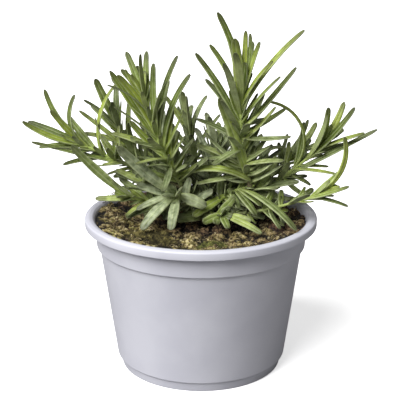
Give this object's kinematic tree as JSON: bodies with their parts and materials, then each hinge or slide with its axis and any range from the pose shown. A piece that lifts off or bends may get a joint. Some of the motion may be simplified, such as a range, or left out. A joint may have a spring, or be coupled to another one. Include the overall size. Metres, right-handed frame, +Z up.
{
  "type": "potted lavender",
  "caption": "Bushy young lavender plant with narrow leaves on spreading shoots, growing from compost in a round tapered nursery pot with a rolled lip.",
  "frame": {"origin": "middle of the pot's underside, on the surface that it stands on", "axes": "+Z up along the pot's axis, -Y towards the plant's front, +X to the right seen from the front"},
  "size_m": [0.1912, 0.129, 0.1992],
  "materials": {
    "pot_plastic": "satin moulded polypropylene, pale lilac grey",
    "compost": "damp dark peat compost with straw fibres",
    "lavender_leaf": "matt felted leaf, yellow-green to grey-green",
    "lavender_stem": "downy green square stem",
    "old_wood": "rough grey-brown bark",
    "moss": "cushion moss, yellow-green to brown",
    "bark": "crumbled red-brown bark and fibres",
    "straw": "dry straw-coloured peat fibres"
  },
  "bodies": {
    "root": {"nursery_pot": "pot_plastic", "compost": "compost", "woody_crown": "old_wood", "moss_front_left": "moss", "moss_front": "moss", "moss_left": "moss", "bark_right": "bark", "tall_left_shoot": "lavender_leaf", "front_branch": "lavender_leaf", "tall_right_shoot": "lavender_leaf", "east_shoot": "lavender_leaf", "northeast_shoot": "lavender_leaf", "front_right_shoot": "lavender_leaf", "west_shoot": "lavender_leaf", "northwest_shoot": "lavender_leaf", "west_low_shoot": "lavender_leaf", "front_left_shoot": "lavender_leaf", "front_shoot": "lavender_leaf", "back_shoot": "lavender_leaf", "north_shoot": "lavender_leaf", "north_low_shoot": "lavender_leaf", "middle_shoot": "lavender_leaf", "middle_left_shoot": "lavender_leaf", "middle_right_shoot": "lavender_leaf", "southeast_shoot": "lavender_leaf", "southwest_shoot": "lavender_leaf"}
  },
  "joints": []
}
